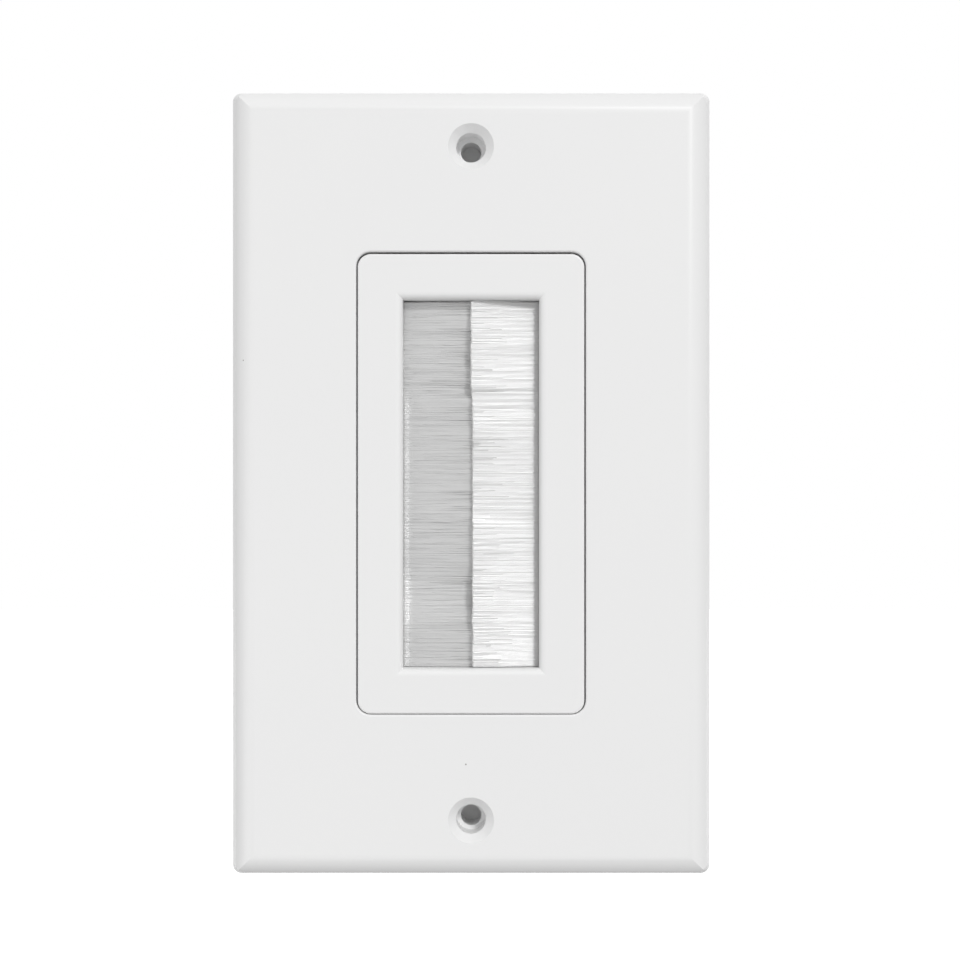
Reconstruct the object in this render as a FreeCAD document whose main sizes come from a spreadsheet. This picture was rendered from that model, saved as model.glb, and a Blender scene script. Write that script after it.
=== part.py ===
import FreeCAD, Part
import os
import Sketcher

# Brush cable wall plate: a single-gang cover plate with a moulded insert in its opening, and two
# strip brushes in the insert whose bristles meet on the middle line. Millimetres.
# X is to the right, Z is up and Y goes into the wall. The wall is the plane Y = 0, and the origin is
# the middle of the plate on it, so everything that faces the room has a negative Y.

SIZES = [
    ("plate_width", 69.85, "cover plate, left to right"),
    ("plate_height", 114.3, "cover plate, top to bottom"),
    ("plate_depth", 5.6, "wall to the front of the plate"),
    ("plate_corner", 1.3, "radius of the plate's outline at its corners"),
    ("plate_web", 2.2, "thickness of the plate's front"),
    ("plate_side", 1.8, "thickness of the plate's rim"),
    ("rim_draft", 0.9, "how much the rim slopes in from the wall to the rolled edge"),
    ("roll_inset", 3.1, "width of the rolled edge, from the rim to the flat front"),
    ("roll_drop", 1.7, "how far the rolled edge falls before the rim"),
    ("opening_side", 18.425, "from the plate's side to its opening"),
    ("opening_end", 23.9, "from the plate's top or bottom to its opening"),
    ("opening_gap", 0.2, "clearance round the insert in the opening"),
    ("opening_wall", 1.4, "thickness of the collar behind the opening's edge"),
    ("edge_break", 0.3, "small radius on the edges either side of the gap"),
    ("screw_inset", 8.73, "from the plate's top or bottom to a plate screw"),
    ("screw_hole", 4.3, "clearance hole for a plate screw"),
    ("countersink", 6.6, "diameter of the countersink at the front"),
    ("countersink_angle", 82.0, "full angle of the countersink, degrees"),
    ("screw_boss", 8.6, "diameter of the boss behind each plate screw"),
    ("rib_thickness", 1.2, "stiffening ribs behind the plate"),
    ("rib_inset", 13.35, "from the opening's top or bottom to a cross rib"),
    ("rib_clearance", 0.5, "between the ribs or collar and the yoke"),
    ("insert_corner", 1.9, "radius of the insert's corners"),
    ("insert_recess", 0.1, "how far the bezel lies behind the plate's front"),
    ("insert_drop", 0.09, "how far the insert hangs below the middle of the opening"),
    ("insert_front", 2.3, "thickness of the bezel's front"),
    ("insert_side", 1.35, "thickness of the insert's side walls"),
    ("insert_end", 1.7, "thickness of the insert's top and bottom walls"),
    ("insert_back", 4.3, "how far the insert reaches behind the wall plane"),
    ("border_side", 6.48, "bezel left and right of the window"),
    ("border_end", 6.5, "bezel above and below the window"),
    ("window_round", 1.0, "radius on the window's front edge"),
    ("yoke_front", 0.7, "front of the yoke, ahead of the wall plane"),
    ("yoke_thickness", 2.0, "plate of the yoke"),
    ("yoke_lip", 2.6, "how far the yoke stands out past the bezel"),
    ("ear_width", 20.0, "ears at the top and bottom of the yoke"),
    ("ear_reach", 4.5, "from a plate screw's centre to the end of the ear"),
    ("ear_corner", 3.0, "radius of the ear's corners"),
    ("ear_shoulder", 4.0, "height of the slope from the yoke to the ear"),
    ("pilot_hole", 3.0, "hole in the ear that a plate screw cuts into"),
    ("pilot_boss", 7.0, "diameter of the boss round the pilot hole"),
    ("pilot_depth", 4.4, "depth of the pilot hole"),
    ("pilot_floor", 0.6, "plastic that closes the end of the pilot hole"),
    ("box_step", 6.75, "from a plate screw to the screw into the wall box"),
    ("box_hole", 4.4, "clearance hole for a box screw"),
    ("brush_short", 0.15, "how much shorter a brush is than the window, at each end"),
    ("stop_thickness", 1.4, "cross walls behind the window's ends, which stop the strips"),
    ("mouth_setback", 1.0, "from the window's side to the mouth of the strip"),
    ("channel_thickness", 4.0, "folded strip, front to back"),
    ("channel_metal", 0.45, "sheet that the strip is folded from"),
    ("channel_bend", 0.9, "outer radius of the strip's two bends"),
    ("channel_gap", 0.1, "clearance behind the strip and beside it"),
    ("pack_gap", 0.05, "between the bristles and the strip or the wire"),
    ("wire_diameter", 1.2, "wire that the bristles are folded over"),
    ("hook_width", 6.0, "snap hooks that hold the strips from behind"),
    ("hook_thickness", 1.3, "arm of a snap hook"),
    ("hook_nose", 0.5, "nose of a snap hook, past the strip's mouth"),
    ("hook_catch", 0.36, "how far the nose reaches over the edge of the strip's mouth"),
    ("hook_inset", 7.5, "from the end of a brush to the nearest hook"),
    ("tuft_pitch", 1.0, "least width of a tuft"),
    ("tuft_slit", 0.06, "slit between two tufts"),
    ("tuft_slope", 18.0, "slope of a tuft's front and back away from its ridge, degrees"),
    ("straight_run", 3.0, "how far the bristles run straight out of the strip before they lean"),
    ("tip_overlap", 0.3, "how far the left tips pass behind the right ones"),
    ("tip_clearance", 0.4, "between the left tips and the right ones over them"),
    ("left_lift", 0.6, "how far the left tips stand towards the room"),
    ("left_tip", 2.1, "thickness of the left tufts at their tips"),
    ("right_tip", 0.75, "thickness of the right tufts at their tips"),
]

# Four tufts repeat along a brush. Each is trimmed a little shorter or longer, as a share of tip_overlap.
TUFT_TRIMS = (0.0, 0.5, -0.3, 0.25)
HOOK_COUNT = 3
# Two lengths closer than this count as the same when edges are looked up.
SAME_PLACE = 1e-4

doc = FreeCAD.newDocument("brush_cable_wall_plate")
sheet = doc.addObject("Spreadsheet::Sheet", "Sizes")
for row, (alias, value, note) in enumerate(SIZES, start=1):
    sheet.set(f"A{row}", alias)
    sheet.set(f"B{row}", str(value))
    sheet.set(f"C{row}", note)
    sheet.setAlias(f"B{row}", alias)
doc.recompute()


class Size:
    """A number together with the sheet formula that gives it, so that a sketch can be drawn in its
    place and bound to the sheet in one go."""

    def __init__(self, number, formula):
        self.number = float(number)
        self.formula = formula

    @staticmethod
    def of(other):
        return other if isinstance(other, Size) else Size(other, repr(float(other)))

    def __add__(self, other):
        other = Size.of(other)
        return Size(self.number + other.number, f"({self.formula} + {other.formula})")

    def __sub__(self, other):
        other = Size.of(other)
        return Size(self.number - other.number, f"({self.formula} - {other.formula})")

    def __mul__(self, other):
        other = Size.of(other)
        return Size(self.number * other.number, f"({self.formula} * {other.formula})")

    def __truediv__(self, other):
        other = Size.of(other)
        return Size(self.number / other.number, f"({self.formula} / {other.formula})")

    def __neg__(self):
        return self * -1


class Sheet:
    """The sheet's cells by their aliases."""

    def __getattr__(self, alias):
        return Size(sheet.get(alias), "Sizes." + alias)


cell = Sheet()
ZERO = Size(0, "0")


def new_body(name):
    body = doc.addObject("PartDesign::Body", name)
    body.Label = name
    return body


def sketch_on(body, plane, name, height=ZERO):
    """A sketch on one of the body's origin planes, moved along the plane's normal by height.
    The normal of XZ_Plane points to the room, of YZ_Plane to the right and of XY_Plane up."""
    sketch = body.newObject("Sketcher::SketchObject", name)
    support = [f for f in body.Origin.OriginFeatures if f.Role == plane][0]
    sketch.AttachmentSupport = [(support, "")]
    sketch.MapMode = "FlatFace"
    sketch.setExpression("AttachmentOffset.Base.z", height.formula)
    return sketch


def bound(sketch, kind, *where_and_size):
    """Adds one dimension to a sketch and binds it to the sheet."""
    *where, size = where_and_size
    index = sketch.addConstraint(Sketcher.Constraint(kind, *where, size.number))
    sketch.setExpression(f"Constraints[{index}]", size.formula)


def circle(sketch, u, v, diameter):
    centre = FreeCAD.Vector(u.number, v.number, 0)
    index = sketch.addGeometry(Part.Circle(centre, FreeCAD.Vector(0, 0, 1), diameter.number / 2), False)
    bound(sketch, "DistanceX", -1, 1, index, 3, u)
    bound(sketch, "DistanceY", -1, 1, index, 3, v)
    bound(sketch, "Diameter", index, diameter)


def outline(sketch, corners):
    """A closed outline. A corner is (u, v), or (u, v, centre u, centre v, radius, turn) where an arc
    about that centre runs to the next corner, with turn 1 for anticlockwise and -1 for clockwise."""
    edges = []
    for here, there in zip(corners, corners[1:] + corners[:1]):
        start = FreeCAD.Vector(here[0].number, here[1].number, 0)
        end = FreeCAD.Vector(there[0].number, there[1].number, 0)
        if len(here) == 2:
            index = sketch.addGeometry(Part.LineSegment(start, end), False)
            edges.append((index, 1, 2))
            continue
        cu, cv, radius, turn = here[2:]
        centre = FreeCAD.Vector(cu.number, cv.number, 0)
        first, last = (start, end) if turn > 0 else (end, start)
        ring = Part.Circle(centre, FreeCAD.Vector(0, 0, 1), radius.number)
        arc = Part.ArcOfCircle(ring, ring.parameter(first), ring.parameter(last))
        index = sketch.addGeometry(arc, False)
        bound(sketch, "Radius", index, radius)
        edges.append((index, 1, 2) if turn > 0 else (index, 2, 1))
    for place, here in enumerate(corners):
        index, start_end, _ = edges[place]
        before, _, far_end = edges[place - 1]
        sketch.addConstraint(Sketcher.Constraint("Coincident", before, far_end, index, start_end))
        bound(sketch, "DistanceX", -1, 1, index, start_end, here[0])
        bound(sketch, "DistanceY", -1, 1, index, start_end, here[1])


def rectangle(sketch, width, height, u=ZERO, v=ZERO):
    right, left = u + width / 2, u - width / 2
    top, bottom = v + height / 2, v - height / 2
    outline(sketch, [(right, bottom), (right, top), (left, top), (left, bottom)])


def rounded_rectangle(sketch, width, height, radius):
    right, top = width / 2, height / 2
    corners = []
    for a, b in ((1, 1), (-1, 1), (-1, -1), (1, -1)):
        cu, cv = (right - radius) * a, (top - radius) * b
        beside, beyond = (right * a, cv), (cu, top * b)
        first, second = (beside, beyond) if a == b else (beyond, beside)
        corners.append((*first, cu, cv, radius, 1))
        corners.append(second)
    outline(sketch, corners)


def pad(body, sketch, length, name, symmetric=False):
    feature = body.newObject("PartDesign::Pad", name)
    feature.Profile = sketch
    feature.setExpression("Length", length.formula)
    feature.SideType = "Symmetric" if symmetric else "One side"
    return feature


def pocket(body, sketch, length, name, symmetric=False):
    """Cuts along the sketch's normal, so towards the room from XZ_Plane. Fails if nothing is cut."""
    doc.recompute()
    before = body.Shape.Volume
    feature = body.newObject("PartDesign::Pocket", name)
    feature.Profile = sketch
    feature.setExpression("Length", length.formula)
    feature.SideType = "Symmetric" if symmetric else "One side"
    feature.Reversed = True
    doc.recompute()
    if body.Shape.Volume >= before:
        raise RuntimeError(name + " cuts nothing")
    return feature


def fillet(body, base, edge_names, radius, name):
    feature = body.newObject("PartDesign::Fillet", name)
    feature.Base = (base, edge_names)
    feature.setExpression("Radius", radius.formula)
    return feature


def front_edges(feature, y, half_width, half_height):
    """Names of the feature's edges that lie in the plane at y, on an outline of this size about the
    middle, corners included."""
    names = []
    for number, edge in enumerate(feature.Shape.Edges, start=1):
        box = edge.BoundBox
        flat = abs(box.YMin - y) < SAME_PLACE and abs(box.YMax - y) < SAME_PLACE
        at = edge.valueAt((edge.FirstParameter + edge.LastParameter) / 2)
        near_side = abs(abs(at.x) - half_width) < cell.insert_corner.number
        near_end = abs(abs(at.z) - half_height) < cell.insert_corner.number
        inside = abs(at.x) < half_width + SAME_PLACE and abs(at.z) < half_height + SAME_PLACE
        if flat and inside and (near_side or near_end):
            names.append(f"Edge{number}")
    return names


# Sizes and places that more than one piece goes by
opening_width = cell.plate_width - cell.opening_side * 2
opening_height = cell.plate_height - cell.opening_end * 2
insert_width = opening_width - cell.opening_gap * 2
insert_height = opening_height - cell.opening_gap * 2
window_width = insert_width - cell.border_side * 2
window_height = insert_height - cell.border_end * 2
brush_length = window_height - cell.brush_short * 2
screw_at = cell.plate_height / 2 - cell.screw_inset
opening_corner = cell.insert_corner + cell.opening_gap
plate_inside_depth = cell.plate_depth - cell.plate_web
insert_front_at = cell.plate_depth - cell.insert_recess
insert_inside_at = insert_front_at - cell.insert_front
yoke_back_at = cell.yoke_thickness - cell.yoke_front
collar_at = cell.yoke_front + cell.rib_clearance
cavity_side = insert_width / 2 - cell.insert_side
cavity_end = insert_height / 2 - cell.insert_end
mouth_at = window_width / 2 + cell.mouth_setback
channel_back_at = cavity_side - cell.channel_gap
channel_front_y = -insert_inside_at
channel_rear_y = channel_front_y + cell.channel_thickness
pack_front_y = channel_front_y + cell.channel_metal + cell.pack_gap
pack_rear_y = channel_rear_y - cell.channel_metal - cell.pack_gap
past_everything = cell.plate_depth + cell.insert_back + cell.pilot_depth


def make_wall_plate():
    body = new_body("wall_plate")
    sketch = sketch_on(body, "XZ_Plane", "plate_outline")
    rounded_rectangle(sketch, cell.plate_width, cell.plate_height, cell.plate_corner)
    pad(body, sketch, cell.plate_depth, "plate_block")

    # The front rolls over in one arc, tangent to the front, to a rim that slopes out to the wall. The
    # long edges and the short ones are cut separately, so the rolls meet in a mitre at each corner.
    inset, drop = cell.roll_inset, cell.roll_drop
    roll = (inset * inset + drop * drop) / (drop * 2)
    front = cell.plate_depth
    over = cell.roll_drop
    for plane, half, length, name in (
        ("XY_Plane", cell.plate_width / 2, cell.plate_height, "long_edges"),
        ("YZ_Plane", cell.plate_height / 2, cell.plate_width, "short_edges"),
    ):
        sketch = sketch_on(body, plane, name)
        for sign in (1, -1):
            rim = (half - cell.rim_draft) * sign
            start, out = rim - inset * sign, (half + over) * sign
            points = [
                (start, -front, start, roll - front, roll, sign),
                (rim, drop - front),
                (half * sign, ZERO),
                (out, ZERO),
                (out, -front - over),
                (start, -front - over),
            ]
            if plane == "YZ_Plane":
                points = [turned(point) for point in points]
            outline(sketch, points)
        pocket(body, sketch, length + over * 2, name + "_roll", symmetric=True)

    sketch = sketch_on(body, "XZ_Plane", "plate_hollow")
    rectangle(sketch, cell.plate_width - cell.plate_side * 2, cell.plate_height - cell.plate_side * 2)
    pocket(body, sketch, plate_inside_depth, "plate_inside")

    # The collar round the opening and the ribs stop short of the yoke. The screw bosses rest on it.
    sketch = sketch_on(body, "XZ_Plane", "collar_outline", collar_at)
    collar_width = opening_width + cell.opening_wall * 2
    collar_height = opening_height + cell.opening_wall * 2
    rounded_rectangle(sketch, collar_width, collar_height, opening_corner + cell.opening_wall)
    pad(body, sketch, plate_inside_depth - collar_at, "opening_collar")

    sketch = sketch_on(body, "XZ_Plane", "cross_rib_lines", collar_at)
    for sign in (1, -1):
        rib_at = (opening_height / 2 - cell.rib_inset) * sign
        rectangle(sketch, cell.plate_width - cell.plate_side * 2, cell.rib_thickness, v=rib_at)
    pad(body, sketch, plate_inside_depth - collar_at, "cross_ribs")

    sketch = sketch_on(body, "XZ_Plane", "end_rib_lines", collar_at)
    rim_at = cell.plate_height / 2 - cell.plate_side
    for sign in (1, -1):
        reach = rim_at - screw_at
        rectangle(sketch, cell.rib_thickness, reach, v=(rim_at - reach / 2) * sign)
    pad(body, sketch, plate_inside_depth - collar_at, "end_ribs")

    sketch = sketch_on(body, "XZ_Plane", "boss_circles", cell.yoke_front)
    for sign in (1, -1):
        circle(sketch, ZERO, screw_at * sign, cell.screw_boss)
    pad(body, sketch, plate_inside_depth - cell.yoke_front, "screw_bosses")

    sketch = sketch_on(body, "XZ_Plane", "opening_outline")
    rounded_rectangle(sketch, opening_width, opening_height, opening_corner)
    opening = pocket(body, sketch, past_everything, "opening")

    edges = front_edges(
        opening, -cell.plate_depth.number, opening_width.number / 2, opening_height.number / 2
    )
    fillet(body, opening, edges, cell.edge_break, "opening_edge")
    doc.recompute()

    sketch = sketch_on(body, "XZ_Plane", "screw_centres", cell.plate_depth)
    for sign in (1, -1):
        circle(sketch, ZERO, screw_at * sign, cell.screw_hole)
    doc.recompute()
    before = body.Shape.Volume
    hole = body.newObject("PartDesign::Hole", "screw_holes")
    hole.Profile = sketch
    hole.DepthType = "ThroughAll"
    hole.HoleCutType = "Countersink"
    hole.HoleCutCustomValues = True
    hole.setExpression("Diameter", cell.screw_hole.formula)
    hole.setExpression("HoleCutDiameter", cell.countersink.formula)
    hole.setExpression("HoleCutCountersinkAngle", cell.countersink_angle.formula)
    doc.recompute()
    if body.Shape.Volume >= before:
        raise RuntimeError("screw_holes cuts nothing")
    return body


def turned(point):
    """A point of the long edges' section, with its two axes swapped for the short edges' section."""
    if len(point) == 2:
        return (point[1], point[0])
    return (point[1], point[0], point[3], point[2], point[4], -point[5])


def make_brush_insert():
    body = new_body("brush_insert")

    # Yoke: a flat frame behind the plate, with an ear at the top and the bottom
    sketch = sketch_on(body, "XZ_Plane", "yoke_outline", -yoke_back_at)
    side = insert_width / 2 + cell.yoke_lip
    shoulder = insert_height / 2 + cell.yoke_lip
    ear = cell.ear_width / 2
    tip = screw_at + cell.ear_reach
    corner = cell.ear_corner
    upper = [
        (side, shoulder - cell.ear_shoulder),
        (ear, shoulder),
        (ear, tip - corner, ear - corner, tip - corner, corner, 1),
        (ear - corner, tip),
        (corner - ear, tip, corner - ear, tip - corner, corner, 1),
        (-ear, tip - corner),
        (-ear, shoulder),
        (-side, shoulder - cell.ear_shoulder),
    ]
    outline(sketch, upper + [half_turned(point) for point in upper])
    pad(body, sketch, cell.yoke_thickness, "yoke")

    sketch = sketch_on(body, "XZ_Plane", "bezel_outline", -cell.insert_back)
    rounded_rectangle(sketch, insert_width, insert_height, cell.insert_corner)
    pad(body, sketch, cell.insert_back + insert_front_at, "bezel_block")

    pilot_end_at = cell.yoke_front - cell.pilot_depth
    sketch = sketch_on(body, "XZ_Plane", "pilot_boss_circles", pilot_end_at - cell.pilot_floor)
    for sign in (1, -1):
        circle(sketch, ZERO, screw_at * sign, cell.pilot_boss)
    pad(body, sketch, cell.pilot_floor - pilot_end_at, "pilot_bosses")

    sketch = sketch_on(body, "XZ_Plane", "cavity_outline", -cell.insert_back)
    rectangle(sketch, cavity_side * 2, cavity_end * 2)
    pocket(body, sketch, cell.insert_back + insert_inside_at, "cavity")

    sketch = sketch_on(body, "XZ_Plane", "window_outline")
    rectangle(sketch, window_width, window_height)
    window = pocket(body, sketch, past_everything, "window")

    edges = front_edges(
        window, -insert_front_at.number, window_width.number / 2, window_height.number / 2
    )
    edge_round = fillet(body, window, edges, cell.window_round, "window_edge")
    doc.recompute()
    edges = front_edges(
        edge_round, -insert_front_at.number, insert_width.number / 2, insert_height.number / 2
    )
    fillet(body, edge_round, edges, cell.edge_break, "bezel_edge")

    # Cross walls carry the window's top and bottom straight back, and stop the ends of both strips
    stop_wide = cavity_side * 2 + cell.insert_side
    stop_at = (window_height + cell.stop_thickness) / 2
    sketch = sketch_on(body, "XZ_Plane", "end_stop_outlines", -channel_rear_y)
    for sign in (1, -1):
        rectangle(sketch, stop_wide, cell.stop_thickness, v=stop_at * sign)
    pad(body, sketch, cell.channel_thickness + cell.insert_front / 2, "end_stops")

    # Snap hooks: an arm from the side wall lies behind the strip, and its nose holds the strip's mouth
    arm_y = channel_rear_y + cell.channel_gap
    arm_back_y = arm_y + cell.hook_thickness
    nose_y = channel_rear_y - cell.hook_catch
    nose_at = mouth_at - cell.pack_gap
    root_at = cavity_side + cell.insert_side / 2
    lowest_hook = cell.hook_inset - brush_length / 2
    sketch = sketch_on(body, "XY_Plane", "hook_profile", lowest_hook)
    for sign in (1, -1):
        points = [
            (root_at * sign, arm_y),
            (nose_at * sign, arm_y),
            (nose_at * sign, nose_y),
            ((nose_at - cell.hook_nose) * sign, nose_y),
            ((nose_at - cell.hook_nose) * sign, arm_y),
            ((nose_at + cell.hook_nose) * sign, arm_back_y),
            (root_at * sign, arm_back_y),
        ]
        outline(sketch, points)
    hook = pad(body, sketch, cell.hook_width, "hook_pair", symmetric=True)
    doc.recompute()
    hook_step = -lowest_hook * 2 / (HOOK_COUNT - 1)
    along(body, [hook], "Z_Axis", hook_step, Size(HOOK_COUNT, str(HOOK_COUNT)), "hooks")

    sketch = sketch_on(body, "XZ_Plane", "pilot_circles", pilot_end_at)
    for sign in (1, -1):
        circle(sketch, ZERO, screw_at * sign, cell.pilot_hole)
    pocket(body, sketch, past_everything, "pilot_holes")

    sketch = sketch_on(body, "XZ_Plane", "box_screw_circles", -yoke_back_at)
    for sign in (1, -1):
        circle(sketch, ZERO, (screw_at - cell.box_step) * sign, cell.box_hole)
    pocket(body, sketch, past_everything, "box_screw_holes")
    return body


def half_turned(point):
    """The same point half a turn about the middle."""
    if len(point) == 2:
        return (-point[0], -point[1])
    return (-point[0], -point[1], -point[2], -point[3], point[4], point[5])


def along(body, features, axis, spacing, count, name):
    """Repeats features along one of the body's axes."""
    pattern = body.newObject("PartDesign::LinearPattern", name)
    pattern.Originals = features
    pattern.Direction = ([f for f in body.Origin.OriginFeatures if f.Role == axis][0], [""])
    pattern.Mode = "Spacing"
    pattern.setExpression("Offset", spacing.formula)
    pattern.setExpression("Occurrences", count.formula)
    pattern.Refine = False
    body.Tip = pattern
    doc.recompute()
    return pattern


def make_channel(name, sign):
    """The folded strip: a U that opens towards the window."""
    body = new_body(name)
    sketch = sketch_on(body, "XY_Plane", name + "_section")
    metal, bend = cell.channel_metal, cell.channel_bend
    back = channel_back_at
    front, rear = channel_front_y, channel_rear_y
    inner = bend - metal
    points = [
        (mouth_at, front),
        (back - bend, front, back - bend, front + bend, bend, 1),
        (back, front + bend),
        (back, rear - bend, back - bend, rear - bend, bend, 1),
        (back - bend, rear),
        (mouth_at, rear),
        (mouth_at, rear - metal),
        (back - bend, rear - metal, back - bend, rear - bend, inner, -1),
        (back - metal, rear - bend),
        (back - metal, front + bend, back - bend, front + bend, inner, -1),
        (back - bend, front + metal),
        (mouth_at, front + metal),
    ]
    outline(sketch, [mirrored(point, sign) for point in points])
    pad(body, sketch, brush_length, name + "_strip", symmetric=True)
    return body


def mirrored(point, sign):
    """The point on the right brush, or its mirror image on the left one for a sign of -1."""
    if len(point) == 2:
        return (point[0] * sign, point[1])
    return (point[0] * sign, point[1], point[2] * sign, point[3], point[4], point[5] * sign)


# The bristles fold over the wire, so the back of the pack is a half round about the wire.
pack_radius = (pack_rear_y - pack_front_y) / 2
pack_middle_y = (pack_rear_y + pack_front_y) / 2
wire_at = channel_back_at - cell.channel_metal - cell.pack_gap - pack_radius


def make_core_wire(name, sign):
    body = new_body(name)
    sketch = sketch_on(body, "XY_Plane", name + "_section")
    circle(sketch, wire_at * sign, pack_middle_y, cell.wire_diameter)
    pad(body, sketch, brush_length, name + "_rod", symmetric=True)
    return body


# The right tips lie over the left ones, which stay behind them by a clearance.
left_tip_front_y = pack_front_y - cell.left_lift
left_tip_rear_y = left_tip_front_y + cell.left_tip
right_tip_rear_y = left_tip_front_y - cell.tip_clearance
right_tip_front_y = right_tip_rear_y - cell.right_tip


def make_bristles(name, sign, reach, tip_front_y, tip_rear_y):
    """The pack in the strip, and a row of tufts from it whose tips reach past the middle line."""
    body = new_body(name)
    sketch = sketch_on(body, "XY_Plane", name + "_root_section")
    neck = mouth_at - cell.pack_gap
    points = [
        (neck, pack_front_y),
        (wire_at, pack_front_y, wire_at, pack_middle_y, pack_radius, 1),
        (wire_at + pack_radius, pack_middle_y, wire_at, pack_middle_y, pack_radius, 1),
        (wire_at, pack_rear_y),
        (neck, pack_rear_y),
    ]
    outline(sketch, [mirrored(point, sign) for point in points])
    circle(sketch, wire_at * sign, pack_middle_y, cell.wire_diameter + cell.pack_gap * 2)
    pad(body, sketch, brush_length, name + "_root", symmetric=True)

    # Four tufts of different trim, repeated so that they fill the brush from end to end. A tuft is
    # thickest along its middle, so its front and its back are ridges, and a narrow slit at the bottom
    # of the groove parts it from the next tuft.
    least_group = cell.tuft_pitch * len(TUFT_TRIMS)
    formula = f"floor({brush_length.formula} / {least_group.formula})"
    count = Size(brush_length.number // least_group.number, formula)
    group = brush_length / count
    pitch = group / len(TUFT_TRIMS)
    lowest = (pitch - brush_length) / 2
    tufts = []
    for place, trim in enumerate(TUFT_TRIMS):
        tip = cell.tip_overlap * trim - reach
        sketch = sketch_on(body, "XY_Plane", f"{name}_tuft_{place}_side", lowest + pitch * place)
        points = [
            (mouth_at + cell.channel_metal, pack_front_y),
            (mouth_at - cell.straight_run, pack_front_y),
            (tip, tip_front_y),
            (tip, tip_rear_y),
            (mouth_at - cell.straight_run, pack_rear_y),
            (mouth_at + cell.channel_metal, pack_rear_y),
        ]
        outline(sketch, [mirrored(point, sign) for point in points])
        tuft = pad(body, sketch, pitch - cell.tuft_slit, f"{name}_tuft_{place}", symmetric=True)
        tuft.setExpression("TaperAngle", (-cell.tuft_slope).formula)
        tufts.append(tuft)
    doc.recompute()
    along(body, tufts, "Z_Axis", group, count, name + "_tufts")
    return body


# The insert and all that it carries hang a little low in the plate's opening.
carried = [make_brush_insert()]
for side, sign, reach, tip_front_y, tip_rear_y in (
    ("left", -1, cell.tip_overlap, left_tip_front_y, left_tip_rear_y),
    ("right", 1, ZERO, right_tip_front_y, right_tip_rear_y),
):
    carried.append(make_channel(side + "_channel", sign))
    carried.append(make_core_wire(side + "_core_wire", sign))
    carried.append(make_bristles(side + "_bristles", sign, reach, tip_front_y, tip_rear_y))
for piece in carried:
    piece.setExpression("Placement.Base.z", (-cell.insert_drop).formula)
pieces = [make_wall_plate()] + carried
doc.recompute()

for item in doc.Objects:
    if "Invalid" in item.State or "Error" in item.State:
        raise RuntimeError(f"{item.Label} failed: {item.State}")
for piece in pieces:
    if piece.Shape.isNull() or not piece.Shape.isValid():
        raise RuntimeError(piece.Label + " has no valid shape")

os.makedirs("parts", exist_ok=True)
for piece in pieces:
    piece.Shape.exportStep(f"parts/{piece.Label}.step")
    box = piece.Shape.BoundBox
    print(
        f"{piece.Label}: {len(piece.Shape.Solids)} solid, {piece.Shape.Volume:.1f} mm3,"
        f" x {box.XMin:.2f} to {box.XMax:.2f}, y {box.YMin:.2f} to {box.YMax:.2f},"
        f" z {box.ZMin:.2f} to {box.ZMax:.2f}"
    )
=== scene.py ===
# %% [markdown]
# # A wall plate with a brush window
# The object is a white single-gang wall plate. A moulded insert fills its opening, and two strip
# brushes in the insert's window close it softly, so that cables can be pushed through. The pieces
# come ready made at their real size, in metres, with X to the right, Z up and the front facing -Y.
# This lesson gives them their finishes, rounds the plate's corners and makes the thousands of nylon
# filaments of the brushes.

from math import radians
from types import SimpleNamespace

import bmesh
import bpy
import numpy as np
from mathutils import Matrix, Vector


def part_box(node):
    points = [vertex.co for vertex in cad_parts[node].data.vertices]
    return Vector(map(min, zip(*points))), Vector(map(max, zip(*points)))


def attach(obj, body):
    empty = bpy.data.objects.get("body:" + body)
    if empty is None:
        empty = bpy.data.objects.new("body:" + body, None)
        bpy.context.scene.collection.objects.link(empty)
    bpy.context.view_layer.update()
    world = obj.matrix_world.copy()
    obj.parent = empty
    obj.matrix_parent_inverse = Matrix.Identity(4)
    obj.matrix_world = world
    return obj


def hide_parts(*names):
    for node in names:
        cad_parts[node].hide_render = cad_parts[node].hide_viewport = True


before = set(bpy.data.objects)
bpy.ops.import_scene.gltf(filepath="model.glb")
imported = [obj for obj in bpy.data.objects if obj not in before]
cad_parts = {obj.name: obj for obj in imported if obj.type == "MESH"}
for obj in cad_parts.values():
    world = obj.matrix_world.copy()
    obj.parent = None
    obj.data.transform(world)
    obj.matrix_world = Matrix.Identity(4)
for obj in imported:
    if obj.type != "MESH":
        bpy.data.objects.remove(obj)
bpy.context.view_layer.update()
MM = 0.001
print("pieces:", sorted(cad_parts))

# %% [markdown]
# ## The camera
# The plate was photographed square on, from about a forearm's length away. A camera could be placed by
# eye, but the plate's width is known in metres and in pixels, so the focal length follows from it. The
# plate sits a little to the left of the picture's middle and a little below it. Moving the camera by
# as much the other way does the same without any lens shift.

# %% Camera
IMAGE_SIDE = 960
PLATE_PIXELS = 476.4
PLATE_MIDDLE_PIXEL = (471.2, 483.2)
CAMERA_DISTANCE = 270 * MM
SENSOR_WIDTH = 36.0

plate_low, plate_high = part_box("wall_plate")
pixels_per_metre = PLATE_PIXELS / (plate_high.x - plate_low.x)
camera_data = bpy.data.cameras.new("front_camera")
camera_data.sensor_width = SENSOR_WIDTH
camera_data.lens = SENSOR_WIDTH * pixels_per_metre * CAMERA_DISTANCE / IMAGE_SIDE
camera = bpy.data.objects.new("front_camera", camera_data)
camera.location = (
    (IMAGE_SIDE / 2 - PLATE_MIDDLE_PIXEL[0]) / pixels_per_metre,
    plate_high.y - CAMERA_DISTANCE,
    (PLATE_MIDDLE_PIXEL[1] - IMAGE_SIDE / 2) / pixels_per_metre,
)
camera.rotation_euler = Vector((0, 1, 0)).to_track_quat("-Z", "Z").to_euler()
bpy.context.scene.collection.objects.link(camera)
bpy.context.scene.camera = camera
bpy.context.scene.view_settings.view_transform = "Standard"
print("lens:", round(camera_data.lens, 2), "mm")

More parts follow.
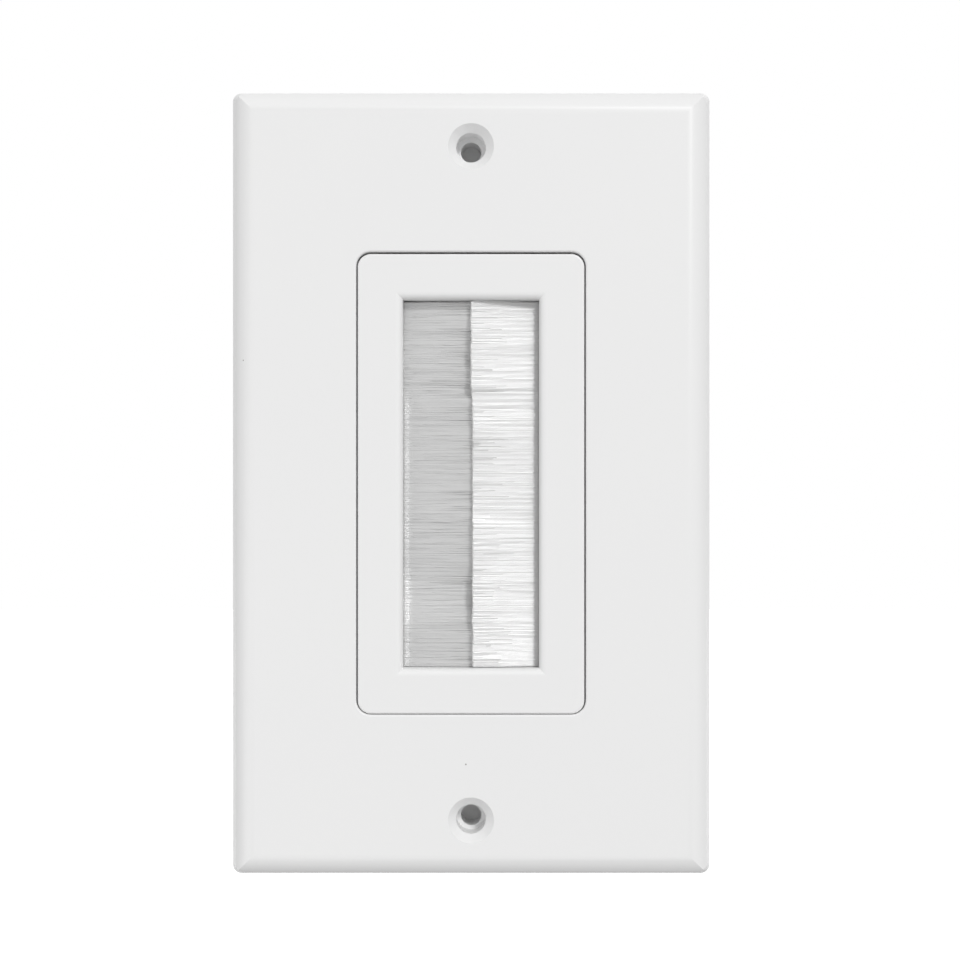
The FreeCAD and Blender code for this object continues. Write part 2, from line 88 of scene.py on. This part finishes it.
# %% [markdown]
# ## What the finishes share
# A finish is a tree of nodes. Its unevenness comes from noise in the object's own coordinates, so it
# stays in place from every side. The nodes could be set up one by one in each finish, but a tree reads
# more easily when the steps that come back are small functions.

# %% Steps of a finish
# Noise keeps mostly between these values
NOISE_LOW = 0.3
NOISE_HIGH = 0.7


def new_finish(name):
    """An empty material with its tree's parts at hand."""
    material = bpy.data.materials.new(name)
    material.use_nodes = True
    tree = material.node_tree
    return material, tree.nodes, tree.links, tree.nodes["Principled BSDF"]


def noise(nodes, links, coordinates, scale, detail):
    """Noise with about as many bumps in a metre as the scale says."""
    texture = nodes.new("ShaderNodeTexNoise")
    texture.inputs["Scale"].default_value = scale
    texture.inputs["Detail"].default_value = detail
    links.new(coordinates, texture.inputs["Vector"])
    return texture.outputs["Fac"]


def spread(nodes, links, value, low, high):
    """Maps noise to a range of its own."""
    ranged = nodes.new("ShaderNodeMapRange")
    ranged.inputs["From Min"].default_value = NOISE_LOW
    ranged.inputs["From Max"].default_value = NOISE_HIGH
    ranged.inputs["To Min"].default_value = low
    ranged.inputs["To Max"].default_value = high
    links.new(value, ranged.inputs["Value"])
    return ranged.outputs["Result"]


def mixed(nodes, links, factor, first, second):
    """A node that goes from the first colour to the second as the factor goes from 0 to 1."""
    mix = nodes.new("ShaderNodeMix")
    mix.data_type = "RGBA"
    mix.inputs["A"].default_value = first
    mix.inputs["B"].default_value = second
    links.new(factor, mix.inputs["Factor"])
    return mix


def bump(nodes, links, shader, height, strength, distance):
    node = nodes.new("ShaderNodeBump")
    node.inputs["Strength"].default_value = strength
    node.inputs["Distance"].default_value = distance
    links.new(height, node.inputs["Height"])
    links.new(node.outputs["Normal"], shader.inputs["Normal"])


def dress(node_name, material):
    """Gives a piece its finish in place of the plain one that it was loaded with."""
    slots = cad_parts[node_name].material_slots
    for slot in slots:
        slot.material = material
    print(node_name, "wears", material.name)


# %% [markdown]
# ## White moulded plastic
# Plate and insert are injection moulded in semi-gloss white plastic. Up close such a surface isn't one
# flat white: the tone drifts a little, the polish is uneven, the skin is faintly wavy and a few grey
# specks are moulded in. A picture could be wrapped round each piece, but noise needs no unwrapping. One
# function makes both finishes, because the two pieces come from like material. Only the specks differ.

# %% Plastic finish
PLASTIC_WHITE = (0.92, 0.92, 0.918, 1)
PLASTIC_SHADE = (0.914, 0.914, 0.914, 1)
PLASTIC_ROUGHNESS = (0.38, 0.42)
PLASTIC_INDEX = 1.5
SPECK_GREY = (0.36, 0.35, 0.34, 1)
SPECK_RADIUS = 0.13 * MM
PLATE_SPECK_SPACING = 14 * MM
INSERT_SPECK_SPACING = 17 * MM
DRIFT_SCALE = 30.0
POLISH_SCALE = 110.0
SKIN_SCALE = 500.0
SKIN_STRENGTH = 0.03
SKIN_HEIGHT = 0.02 * MM
PLASTIC_DETAIL = 1.0


def moulded_plastic(name, speck_spacing):
    material, nodes, links, shader = new_finish(name)
    place = nodes.new("ShaderNodeTexCoord").outputs["Object"]
    drift = spread(nodes, links, noise(nodes, links, place, DRIFT_SCALE, PLASTIC_DETAIL), 0.0, 1.0)
    white = mixed(nodes, links, drift, PLASTIC_SHADE, PLASTIC_WHITE)

    # A speck is the heart of a cell. The cells fill space, so a surface cuts through few hearts.
    cells = nodes.new("ShaderNodeTexVoronoi")
    cells.inputs["Scale"].default_value = 1 / speck_spacing
    links.new(place, cells.inputs["Vector"])
    heart = nodes.new("ShaderNodeMath")
    heart.operation = "LESS_THAN"
    heart.inputs[1].default_value = SPECK_RADIUS / speck_spacing
    links.new(cells.outputs["Distance"], heart.inputs[0])
    specked = mixed(nodes, links, heart.outputs["Value"], PLASTIC_WHITE, SPECK_GREY)
    links.new(white.outputs["Result"], specked.inputs["A"])
    links.new(specked.outputs["Result"], shader.inputs["Base Color"])

    polish = noise(nodes, links, place, POLISH_SCALE, PLASTIC_DETAIL)
    links.new(spread(nodes, links, polish, *PLASTIC_ROUGHNESS), shader.inputs["Roughness"])
    shader.inputs["IOR"].default_value = PLASTIC_INDEX
    skin = noise(nodes, links, place, SKIN_SCALE, PLASTIC_DETAIL)
    bump(nodes, links, shader, skin, SKIN_STRENGTH, SKIN_HEIGHT)
    return material


plate_finish = moulded_plastic("plate_plastic", PLATE_SPECK_SPACING)
dress("wall_plate", plate_finish)
dress("brush_insert", moulded_plastic("insert_plastic", INSERT_SPECK_SPACING))

# %% [markdown]
# ## A block with round corners
# The plate's rolled edges meet in sharp mitres right out to the rim. On the real plate the corners are
# rounded from the wall up to the roll. A bevel would round each mitre along its whole length, so only
# the tips are cut, by a block that lies just outside the rim, slopes in as the rim does and has round
# corners. It is two rings of points, one behind the plate and one in front of it, with sides between.

# %% Corner block
CORNER_RADIUS = 1.3 * MM
CORNER_STEPS = 12
RIM_HEIGHT = 3.9 * MM
RIM_DRAFT = 0.9 * MM
BLOCK_OVERHANG = 1 * MM
BLOCK_CLEARANCE = 0.01 * MM


def rounded_block(name):
    """A block just outside the plate's rim, with the rim's slope and with round corners."""
    half_x, half_z = plate_high.x, plate_high.z
    turn = np.linspace(0, np.pi / 2, CORNER_STEPS)
    points = []
    for y in (plate_high.y + BLOCK_OVERHANG, plate_low.y - BLOCK_OVERHANG):
        inset = (plate_high.y - y) * RIM_DRAFT / RIM_HEIGHT + CORNER_RADIUS
        for quarter, (side_x, side_z) in enumerate(((1, 1), (-1, 1), (-1, -1), (1, -1))):
            angle = turn + quarter * np.pi / 2
            x = side_x * (half_x - inset) + (CORNER_RADIUS + BLOCK_CLEARANCE) * np.cos(angle)
            z = side_z * (half_z - inset) + (CORNER_RADIUS + BLOCK_CLEARANCE) * np.sin(angle)
            points += [(u, y, v) for u, v in zip(x, z)]
    ring = len(points) // 2
    sides = [(i, (i + 1) % ring, (i + 1) % ring + ring, i + ring) for i in range(ring)]
    mesh = bpy.data.meshes.new(name)
    mesh.from_pydata(points, [], sides + [tuple(range(ring))[::-1], tuple(range(ring, ring * 2))])
    outward = bmesh.new()
    outward.from_mesh(mesh)
    bmesh.ops.recalc_face_normals(outward, faces=outward.faces)
    outward.to_mesh(mesh)
    return mesh


block = bpy.data.objects.new("corner_block", rounded_block("corner_block"))
bpy.context.scene.collection.objects.link(block)
print("corner_block:", len(block.data.vertices), "points")

# %% [markdown]
# ## The plate with round corners
# The block is laid over a copy of the plate, and what lies in both is kept. The loaded plate has points
# of its own for each face, so the copy is welded first, because the cut needs a closed skin. The cut
# leaves the shading uneven. Marking the real edges sharp and weighing the normals by the size of the
# faces keeps the large front flat and lets the roll start from it without a crease.

# %% Plate with round corners
WELD_DISTANCE = 0.001 * MM
SHARP_FROM = radians(14)


def final_mesh(piece):
    """The mesh of an object with its modifiers carried out."""
    return bpy.data.meshes.new_from_object(piece.evaluated_get(bpy.context.evaluated_depsgraph_get()))


welded = bmesh.new()
welded.from_mesh(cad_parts["wall_plate"].data)
bmesh.ops.remove_doubles(welded, verts=welded.verts, dist=WELD_DISTANCE)
plate_mesh = bpy.data.meshes.new("rounded_plate")
welded.to_mesh(plate_mesh)
plate = bpy.data.objects.new("rounded_plate", plate_mesh)
bpy.context.scene.collection.objects.link(plate)
trim = plate.modifiers.new("corners", "BOOLEAN")
trim.operation = "INTERSECT"
trim.solver = "EXACT"
trim.object = block
plate.data = final_mesh(plate)
plate.modifiers.clear()
bpy.data.objects.remove(block)

if "custom_normal" in plate.data.attributes:
    plate.data.attributes.remove(plate.data.attributes["custom_normal"])
plate.data.shade_smooth()
plate.data.set_sharp_from_angle(angle=SHARP_FROM)
even = plate.modifiers.new("even_normals", "WEIGHTED_NORMAL")
even.keep_sharp = True
plate.data = final_mesh(plate)
plate.modifiers.clear()
plate.data.materials.clear()
plate.data.materials.append(plate_finish)
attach(plate, "root")
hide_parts("wall_plate")
print("rounded_plate:", len(plate.data.polygons), "faces")

# %% [markdown]
# ## Zinc-coated steel
# Each brush is held in a folded strip of thin steel, over a wire. They show only from behind. Rolled
# sheet has fine lines along its length, which noise gives when it is stretched along the strip. The
# lines go into the roughness and the bump, since zinc has hardly any colour.

# %% Steel finish
STEEL_DARK = (0.52, 0.53, 0.54, 1)
STEEL_BRIGHT = (0.66, 0.67, 0.68, 1)
STEEL_ROUGHNESS = (0.26, 0.42)
LINE_STRETCH = (1.0, 1.0, 0.02)
LINE_SCALE = 5200.0
LINE_DETAIL = 3.0
LINE_STRENGTH = 0.15
LINE_HEIGHT = 0.02 * MM
CLOUD_SCALE = 420.0
CLOUD_DETAIL = 4.0


def stretched(nodes, links, place, scale):
    """Coordinates that make a noise longer in each direction whose scale is under 1."""
    mapping = nodes.new("ShaderNodeMapping")
    mapping.inputs["Scale"].default_value = scale
    links.new(place, mapping.inputs["Vector"])
    return mapping.outputs["Vector"]


def zinc_steel(name):
    material, nodes, links, shader = new_finish(name)
    place = nodes.new("ShaderNodeTexCoord").outputs["Object"]
    cloud = spread(nodes, links, noise(nodes, links, place, CLOUD_SCALE, CLOUD_DETAIL), 0.0, 1.0)
    tint = mixed(nodes, links, cloud, STEEL_DARK, STEEL_BRIGHT)
    links.new(tint.outputs["Result"], shader.inputs["Base Color"])
    shader.inputs["Metallic"].default_value = 1.0
    along = stretched(nodes, links, place, LINE_STRETCH)
    lines = noise(nodes, links, along, LINE_SCALE, LINE_DETAIL)
    links.new(spread(nodes, links, lines, *STEEL_ROUGHNESS), shader.inputs["Roughness"])
    bump(nodes, links, shader, lines, LINE_STRENGTH, LINE_HEIGHT)
    return material


steel = zinc_steel("strip_steel")
for side in ("left", "right"):
    dress(side + "_channel", steel)
    dress(side + "_core_wire", steel)

# %% [markdown]
# ## Nylon
# The bristles are clear white nylon, drawn smooth, so each one carries a bright line of light along its
# length. Where the bristles lean to the light the lines join into a white sheen, and elsewhere the
# brush looks grey. That difference has to come from the shape and the gloss, not from two colours.
# A clear filament also sends back light from its inside. These tubes are solid colour, so an index
# above nylon's own 1.5 stands for both. Every filament is an island of its own in the mesh, and the
# island's random number gives each a slightly different grey.

# %% Nylon finish
NYLON_DARK = (0.45, 0.45, 0.45, 1)
NYLON_PALE = (0.50, 0.50, 0.498, 1)
NYLON_ROUGHNESS = (0.29, 0.35)
NYLON_INDEX = 2.15
NYLON_GLOSS = 1.0
SCUFF_STRETCH = (0.15, 1.0, 1.0)
SCUFF_SCALE = 2600.0
SCUFF_DETAIL = 2.0


def nylon(name):
    material, nodes, links, shader = new_finish(name)
    island = nodes.new("ShaderNodeNewGeometry").outputs["Random Per Island"]
    tint = nodes.new("ShaderNodeValToRGB")
    tint.color_ramp.elements[0].color = NYLON_DARK
    tint.color_ramp.elements[1].color = NYLON_PALE
    links.new(island, tint.inputs["Fac"])
    links.new(tint.outputs["Color"], shader.inputs["Base Color"])
    place = nodes.new("ShaderNodeTexCoord").outputs["Object"]
    along = stretched(nodes, links, place, SCUFF_STRETCH)
    scuffs = noise(nodes, links, along, SCUFF_SCALE, SCUFF_DETAIL)
    links.new(spread(nodes, links, scuffs, *NYLON_ROUGHNESS), shader.inputs["Roughness"])
    shader.inputs["IOR"].default_value = NYLON_INDEX
    shader.inputs["Specular IOR Level"].default_value = NYLON_GLOSS
    return material


nylon_finish = nylon("bristle_nylon")
print("nylon between", NYLON_DARK[0], "and", NYLON_PALE[0])

# %% [markdown]
# ## One filament, then thousands
# A brush could be hair particles, but hair has no surface of its own to hand on. A tube for each
# filament is real geometry, and with rings of five points it stays light enough. Every filament is a
# short chain of points: it starts inside the folded strip, comes out of the strip's mouth and runs to
# its tip. The arrays hold all filaments at once, so one sum moves thousands of points.

# %% Tubes along chains of points
FILAMENT_RADIUS = 0.1 * MM
RING_SIDES = 5


def tubes(name, chains):
    """A mesh of closed tubes along chains of points, an array of filaments by points by three."""
    count, length, _ = chains.shape
    run = np.gradient(chains, axis=1)
    run /= np.linalg.norm(run, axis=2, keepdims=True)
    across = np.cross(run, (0.0, 0.0, 1.0))
    across /= np.linalg.norm(across, axis=2, keepdims=True)
    upward = np.cross(across, run)
    angles = np.arange(RING_SIDES) * 2 * np.pi / RING_SIDES
    ring = across[:, :, None] * np.cos(angles)[:, None] + upward[:, :, None] * np.sin(angles)[:, None]
    points = chains[:, :, None] + FILAMENT_RADIUS * ring

    start = np.arange(count)[:, None, None] * length * RING_SIDES
    level = np.arange(length - 1)[None, :, None] * RING_SIDES
    turn = np.arange(RING_SIDES)[None, None, :]
    beside = (turn + 1) % RING_SIDES
    quads = np.stack(
        np.broadcast_arrays(
            start + level + turn,
            start + level + RING_SIDES + turn,
            start + level + RING_SIDES + beside,
            start + level + beside,
        ),
        axis=-1,
    ).reshape(-1, 4)
    first_cap = start[:, 0] + np.arange(RING_SIDES)
    last_cap = start[:, 0] + (length - 1) * RING_SIDES + np.arange(RING_SIDES)[::-1]
    mesh = bpy.data.meshes.new(name)
    mesh.from_pydata(
        points.reshape(-1, 3).tolist(), [], quads.tolist() + first_cap.tolist() + last_cap.tolist()
    )
    mesh.shade_smooth()
    return mesh


print("filaments", 2 * FILAMENT_RADIUS / MM, "mm thick, with", RING_SIDES, "sides")

# %% [markdown]
# ## Rows in a pack
# In the strip the filaments stand in a thick pack. Filling it would take far more of them than show, so
# five rows lie close behind each other at the front, each a quarter of a step further up, and hide what
# is behind. Three more rows stand for the rest of the pack, down to its back. Random numbers shift each
# filament a little. They come from a seed, so every run makes the same brush.

# %% Rows of filaments
# How deep in the pack each row of filaments lies, from 0 at the front to 1 at the back
ROW_DEPTHS = (0.0, 0.006, 0.012, 0.018, 0.05, 0.5, 0.96, 1.0)
ROW_FILAMENTS = 290
FILAMENTS = len(ROW_DEPTHS) * ROW_FILAMENTS
# Shift from row to row and random shift of a filament, in steps from one filament to the next
ROW_SHIFT = 0.25
STEP_JITTER = 0.06
# Random depth of a filament in the pack, for each metre of the brush's stray
DEPTH_STRAY = 0.08 / MM


def rows(random, lowest, highest, stray):
    """Height and depth in the pack of every filament, row by row."""
    step = (highest - lowest) / ROW_FILAMENTS
    places = np.arange(ROW_FILAMENTS) + np.arange(len(ROW_DEPTHS))[:, None] * ROW_SHIFT % 1
    places = places + STEP_JITTER * random.normal(size=places.shape)
    height = np.clip(lowest + places.ravel() * step, lowest, highest)
    depth = np.repeat(ROW_DEPTHS, ROW_FILAMENTS) + DEPTH_STRAY * stray * random.normal(size=FILAMENTS)
    return height, np.clip(depth, 0, 1)


print(FILAMENTS, "filaments a brush, in", len(ROW_DEPTHS), "rows")

# %% [markdown]
# ## Tips
# Nothing in a brush is quite even. Filaments gather in tufts that lie higher or lower, and the trimmed
# tips are ragged. A random number for each filament alone would look like noise, so gentle waves along
# the brush move neighbours together. Where the tips dip deeper, a brush turns towards the light or away
# from it, and that gives the broad pale and grey bands.

# %% Tips of a brush
HILL_WAVES = 5
HILL_STRETCH = (0.6, 1.8)
# How deep the last of the front rows lies
FRONT_DEPTH = 0.05
LONG_WAVE = 14 * MM
LONG_WAVE_HEIGHT = 0.05 * MM
TUFT = 3 * MM
TUFT_TRIM = 0.03 * MM
FILAMENT_TRIM = 0.05 * MM
# Random depth of a tip, as a share of the brush's stray
TIP_STRAY = 0.12
# Between these heights the reach of the tips changes
REACH_CHANGE = (10 * MM, 16 * MM)


def hills(random, z, wavelength):
    """A gentle random curve along the brush: a few sine waves, together about as high as one."""
    total = np.zeros_like(z)
    for _ in range(HILL_WAVES):
        stretch = wavelength * random.uniform(*HILL_STRETCH)
        total += np.sin(2 * np.pi * z / stretch + random.uniform(0, 2 * np.pi))
    return total / HILL_WAVES ** 0.5


def smooth_step(value, low, high):
    """Goes from 0 to 1 between two values, without a kink at either."""
    share = np.clip((value - low) / (high - low), 0, 1)
    return share * share * (3 - 2 * share)


def dip(z, low, high, blend, depth):
    """A hollow along the brush: a depth between two heights, which fades to nothing past them."""
    return depth * smooth_step(z, low - blend, low) * (1 - smooth_step(z, high, high + blend))


def tips(random, z, depth, lie, foremost):
    """Where every filament ends: its place across the window and its place from front to back."""
    tip_depth = np.interp(depth, (0, FRONT_DEPTH, 1), (0, lie.tip_spread, 1))
    tip_y = lie.tip_front + tip_depth * (lie.tip_rear - lie.tip_front)
    tip_y += sum(dip(z, *sizes) for sizes in lie.dips)
    tip_y += LONG_WAVE_HEIGHT * hills(random, z, LONG_WAVE) + lie.ruffle * hills(random, z, TUFT)
    tip_y += TIP_STRAY * lie.stray * random.normal(size=FILAMENTS)
    tip_x = lie.tip_x - lie.tip_x_change * smooth_step(z, *REACH_CHANGE)
    tip_x += TUFT_TRIM * hills(random, z, TUFT) + FILAMENT_TRIM * random.normal(size=FILAMENTS)
    return tip_x, np.maximum(tip_y, foremost)


print("tufts about", round(TUFT / MM, 2), "mm wide")

# %% [markdown]
# ## From the strip to the tips
# Each filament runs from its place in the strip to its tip, and strays a little more the further it is
# from the strip. Waves along the brush make neighbours fan up or down together. Just past the mouth a
# pack that is squeezed in its strip swells, and the far side of that swell catches the light in a thin
# bright band. A filament could have many points, but a few, where it bends, are enough.

# %% Chains of points
# The sheet that the strip is folded from, and the room between it and the filaments
STRIP_SHEET = 0.45 * MM
PACK_ROOM = 0.07 * MM
# Where the swell of a pack starts, is highest and ends, from the strip's mouth
SWELL_RUN = (0.2 * MM, 1.1 * MM, 1.9 * MM)
SWELL_FADE = (11 * MM, 14 * MM)
SWELL_RIPPLE = 0.1
SWELL_RIPPLE_LENGTH = 9 * MM
# Random shift of each point, as a share of the brush's stray
POINT_STRAY = 0.2
FAN_WAVE = 6 * MM
FAN_HEIGHT = 0.07 * MM
# How the shift and the fanning grow along a filament, as powers of the distance
POINT_GROWTH = 0.5
FAN_GROWTH = 1.5


def swell_of(z, height):
    """How far a pack swells at each height on the brush: in a slight ripple, and not near the top."""
    ripple = 1 - SWELL_RIPPLE + SWELL_RIPPLE * np.sin(2 * np.pi * z / SWELL_RIPPLE_LENGTH)
    return height * ripple * (1 - smooth_step(z, *SWELL_FADE))


def chains_of(random, strip_low, strip_high, z, depth, tip_x, tip_y, lie):
    """The points along every filament, from inside the strip to the tip."""
    sign = 1 if strip_low.x > 0 else -1
    mouth = min(abs(strip_low.x), abs(strip_high.x))
    pack_half = (strip_high.y - strip_low.y) / 2 - STRIP_SHEET - PACK_ROOM - FILAMENT_RADIUS
    root_y = (strip_low.y + strip_high.y) / 2 + (2 * depth - 1) * pack_half

    length = (mouth - sign * tip_x)[:, None]
    distance = np.array(lie.stations)[None, :] * np.ones((FILAMENTS, 1))
    distance = np.concatenate([distance, length - FILAMENT_RADIUS, length], axis=1)
    share = np.clip(distance / length, 0, 1)
    x = sign * (mouth - distance)
    y = root_y[:, None] + (tip_y - root_y)[:, None] * share
    y -= (swell_of(z, lie.swell) * (1 - depth))[:, None] * np.interp(distance, SWELL_RUN, (0, 1, 0))

    shift = random.normal(size=(FILAMENTS, len(lie.stations) + 1, 2)) * POINT_STRAY * lie.stray
    shift = np.concatenate([shift, shift[:, -1:]], axis=1) * share[:, :, None] ** POINT_GROWTH
    fan = lie.stray * random.normal(size=FILAMENTS) + FAN_HEIGHT * hills(random, z, FAN_WAVE)
    height = z[:, None] + shift[:, :, 1] + fan[:, None] * share ** FAN_GROWTH
    return np.stack([x, y + shift[:, :, 0], height], axis=-1)


print("the swell of a pack ends", round(SWELL_RUN[2] / MM, 2), "mm from its strip")

# %% [markdown]
# ## The two brushes
# The right bristles lean out to the room and their tips lie over the left ones, which stay about flat.
# Two functions could make them, but only their lie differs: where the tips end, where they dip, how far
# the pack swells at the strip, and how much the filaments ruffle and stray. So one function makes both.

# %% Left and right brush
# How far the lowest filaments sag below the plain pack, into the gap above the window's sill
END_SAG = 0.12 * MM


def make_brush(name, lie):
    """All filaments of one brush as one mesh, in place of the plain pack of bristles."""
    random = np.random.default_rng(lie.seed)
    node = name.replace("_filaments", "_bristles")
    strip_low, strip_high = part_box(name.replace("_filaments", "_channel"))
    node_low, node_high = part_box(node)
    lowest = node_low.z + FILAMENT_RADIUS - END_SAG
    highest = node_high.z - FILAMENT_RADIUS
    z, depth = rows(random, lowest, highest, lie.stray)
    tip_x, tip_y = tips(random, z, depth, lie, node_low.y + FILAMENT_RADIUS)
    chains = chains_of(random, strip_low, strip_high, z, depth, tip_x, tip_y, lie)
    chains[:, :, 2] = np.clip(chains[:, :, 2], lowest, highest)

    brush = bpy.data.objects.new(name, tubes(name, chains))
    brush.data.materials.append(nylon_finish)
    bpy.context.scene.collection.objects.link(brush)
    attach(brush, "root")
    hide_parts(node)
    brush.data.calc_loop_triangles()
    print(name, FILAMENTS, "filaments,", len(brush.data.loop_triangles), "triangles")


# Stations are the distances from the strip's mouth of a filament's points, without the two at its tip.
# A dip has a lowest and a highest height, the length over which it fades, and a depth.
left_low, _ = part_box("left_bristles")
left_lie = SimpleNamespace(
    seed=11,
    stations=[-0.9 * MM, 0.2 * MM, 1.1 * MM, 1.3 * MM, 1.7 * MM, 1.9 * MM, 2.6 * MM],
    tip_front=left_low.y + 0.12 * MM,
    tip_rear=left_low.y + 2.1 * MM,
    tip_spread=FRONT_DEPTH,
    tip_x=0.36 * MM,
    tip_x_change=0.0,
    dips=[(14 * MM, 20 * MM, 3 * MM, 0.6 * MM), (-19 * MM, -15 * MM, 3 * MM, 1.1 * MM)],
    swell=0.15 * MM,
    ruffle=0.15 * MM,
    stray=0.08 * MM,
)
right_low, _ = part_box("right_bristles")
right_lie = SimpleNamespace(
    seed=23,
    stations=[-0.9 * MM, 0.0, 3.0 * MM, 6.5 * MM],
    tip_front=right_low.y + 0.15 * MM,
    tip_rear=right_low.y + 0.8 * MM,
    tip_spread=0.14,
    tip_x=0.2 * MM,
    tip_x_change=0.25 * MM,
    dips=[(-4 * MM, 5 * MM, 2 * MM, 0.3 * MM), (12 * MM, 13 * MM, 1 * MM, 0.25 * MM)],
    swell=0.0,
    ruffle=0.008 * MM,
    stray=0.012 * MM,
)
make_brush("left_filaments", left_lie)
make_brush("right_filaments", right_lie)

# %% [markdown]
# ## Floor and surroundings
# The plate hangs in front of plain white. A floor well below it keeps the plate's shadow and throws
# light back up. To look white it adds a glow that only the camera and reflections see, more of it far
# away, so that the shadow near the plate stays. The world does the same: white to the eye, but a
# quieter light on the object.

# %% Floor
FLOOR_DROP = 0.30
FLOOR_REACH = 4
FLOOR_GREY = (0.55, 0.55, 0.55, 1)
FLOOR_ROUGHNESS = 0.9
WHITE = (1, 1, 1, 1)
# The glow rises between these distances from the floor's middle, from the first strength to the second
GLOW_DISTANCES = (0.45, 0.85)
GLOW_STRENGTHS = (0.35, 1.0)


def seen_directly(nodes, links):
    """1 for rays that show the surroundings to the camera: straight, reflected or through glass."""
    path = nodes.new("ShaderNodeLightPath")
    first = nodes.new("ShaderNodeMath")
    first.operation = "MAXIMUM"
    links.new(path.outputs["Is Camera Ray"], first.inputs[0])
    links.new(path.outputs["Is Glossy Ray"], first.inputs[1])
    second = nodes.new("ShaderNodeMath")
    second.operation = "MAXIMUM"
    links.new(first.outputs["Value"], second.inputs[0])
    links.new(path.outputs["Is Transmission Ray"], second.inputs[1])
    return second.outputs["Value"]


def pale_floor(name):
    material, nodes, links, shader = new_finish(name)
    shader.inputs["Base Color"].default_value = FLOOR_GREY
    shader.inputs["Roughness"].default_value = FLOOR_ROUGHNESS
    shader.inputs["Specular IOR Level"].default_value = 0.0
    place = nodes.new("ShaderNodeTexCoord").outputs["Object"]
    away = nodes.new("ShaderNodeVectorMath")
    away.operation = "LENGTH"
    links.new(place, away.inputs[0])
    glow = nodes.new("ShaderNodeMapRange")
    glow.inputs["From Min"].default_value, glow.inputs["From Max"].default_value = GLOW_DISTANCES
    glow.inputs["To Min"].default_value, glow.inputs["To Max"].default_value = GLOW_STRENGTHS
    links.new(away.outputs["Value"], glow.inputs["Value"])
    shown = nodes.new("ShaderNodeMath")
    shown.operation = "MULTIPLY"
    links.new(glow.outputs["Result"], shown.inputs[0])
    links.new(seen_directly(nodes, links), shown.inputs[1])
    shader.inputs["Emission Color"].default_value = WHITE
    links.new(shown.outputs["Value"], shader.inputs["Emission Strength"])
    return material


floor_mesh = bpy.data.meshes.new("floor")
floor_corners = [(x * FLOOR_REACH, y * FLOOR_REACH, 0) for x, y in ((-1, -1), (1, -1), (1, 1), (-1, 1))]
floor_mesh.from_pydata(floor_corners, [], [(0, 1, 2, 3)])
floor_mesh.materials.append(pale_floor("floor_white"))
floor = bpy.data.objects.new("floor", floor_mesh)
floor.location.z = -FLOOR_DROP
bpy.context.scene.collection.objects.link(floor)
print("floor", FLOOR_DROP, "m below the plate's middle")

# %% [markdown]
# ## The world
# The surroundings light the object evenly from all sides, which gives the sloping rims nearly the tone
# of the front. They could be a dome with a picture of a room, but plain white has no colour to leave
# on a white plate. What the camera sees of them is full white, and what falls on the object is about
# half of that, so that the lamps can still shape it.

# %% World
SKY_LIGHT = 0.535

world = bpy.data.worlds.new("white_surroundings")
world.use_nodes = True
bpy.context.scene.world = world
nodes, links = world.node_tree.nodes, world.node_tree.links
sky = nodes["Background"]
sky.inputs["Color"].default_value = WHITE
level = nodes.new("ShaderNodeMapRange")
level.inputs["To Min"].default_value = SKY_LIGHT
level.inputs["To Max"].default_value = 1.0
links.new(seen_directly(nodes, links), level.inputs["Value"])
links.new(level.outputs["Result"], sky.inputs["Strength"])
print("sky light", SKY_LIGHT)

# %% [markdown]
# ## Light
# The key lamp does the modelling. The shadows in the window fall down and to the left, about two thirds
# and a half of the step that casts them, which gives the lamp's direction: up, to the right and in
# front. It is small for its distance, because the shadows are crisp. A weak lamp low at the left front
# lifts the rim that the key leaves dark. The world does the rest.

# %% Lamps
KEY_DIRECTION = Vector((0.353, -0.784, 0.51))
KEY_DISTANCE = 3.0
KEY_SIZE = 0.6
KEY_POWER = 35.5
FILL_PLACE = Vector((-0.40, -0.40, -0.15))
FILL_SIZE = 0.3
FILL_POWER = 0.38


def hang_lamp(name, shape, size, power, place):
    """A lamp that faces the middle of the plate."""
    lamp_data = bpy.data.lights.new(name, "AREA")
    lamp_data.shape = shape
    lamp_data.size = size
    lamp_data.energy = power
    lamp = bpy.data.objects.new(name, lamp_data)
    lamp.location = place
    lamp.rotation_euler = (-place).to_track_quat("-Z", "Y").to_euler()
    bpy.context.scene.collection.objects.link(lamp)
    print(name, power, "W,", round(place.length, 2), "m away")


hang_lamp("key_lamp", "DISK", KEY_SIZE, KEY_POWER, KEY_DIRECTION * KEY_DISTANCE)
hang_lamp("low_fill", "SQUARE", FILL_SIZE, FILL_POWER, FILL_PLACE)

# %% [markdown]
# ## Last step
# The scene is brought up to date, so that every piece stands in its place.

# %% Update
bpy.context.view_layer.update()
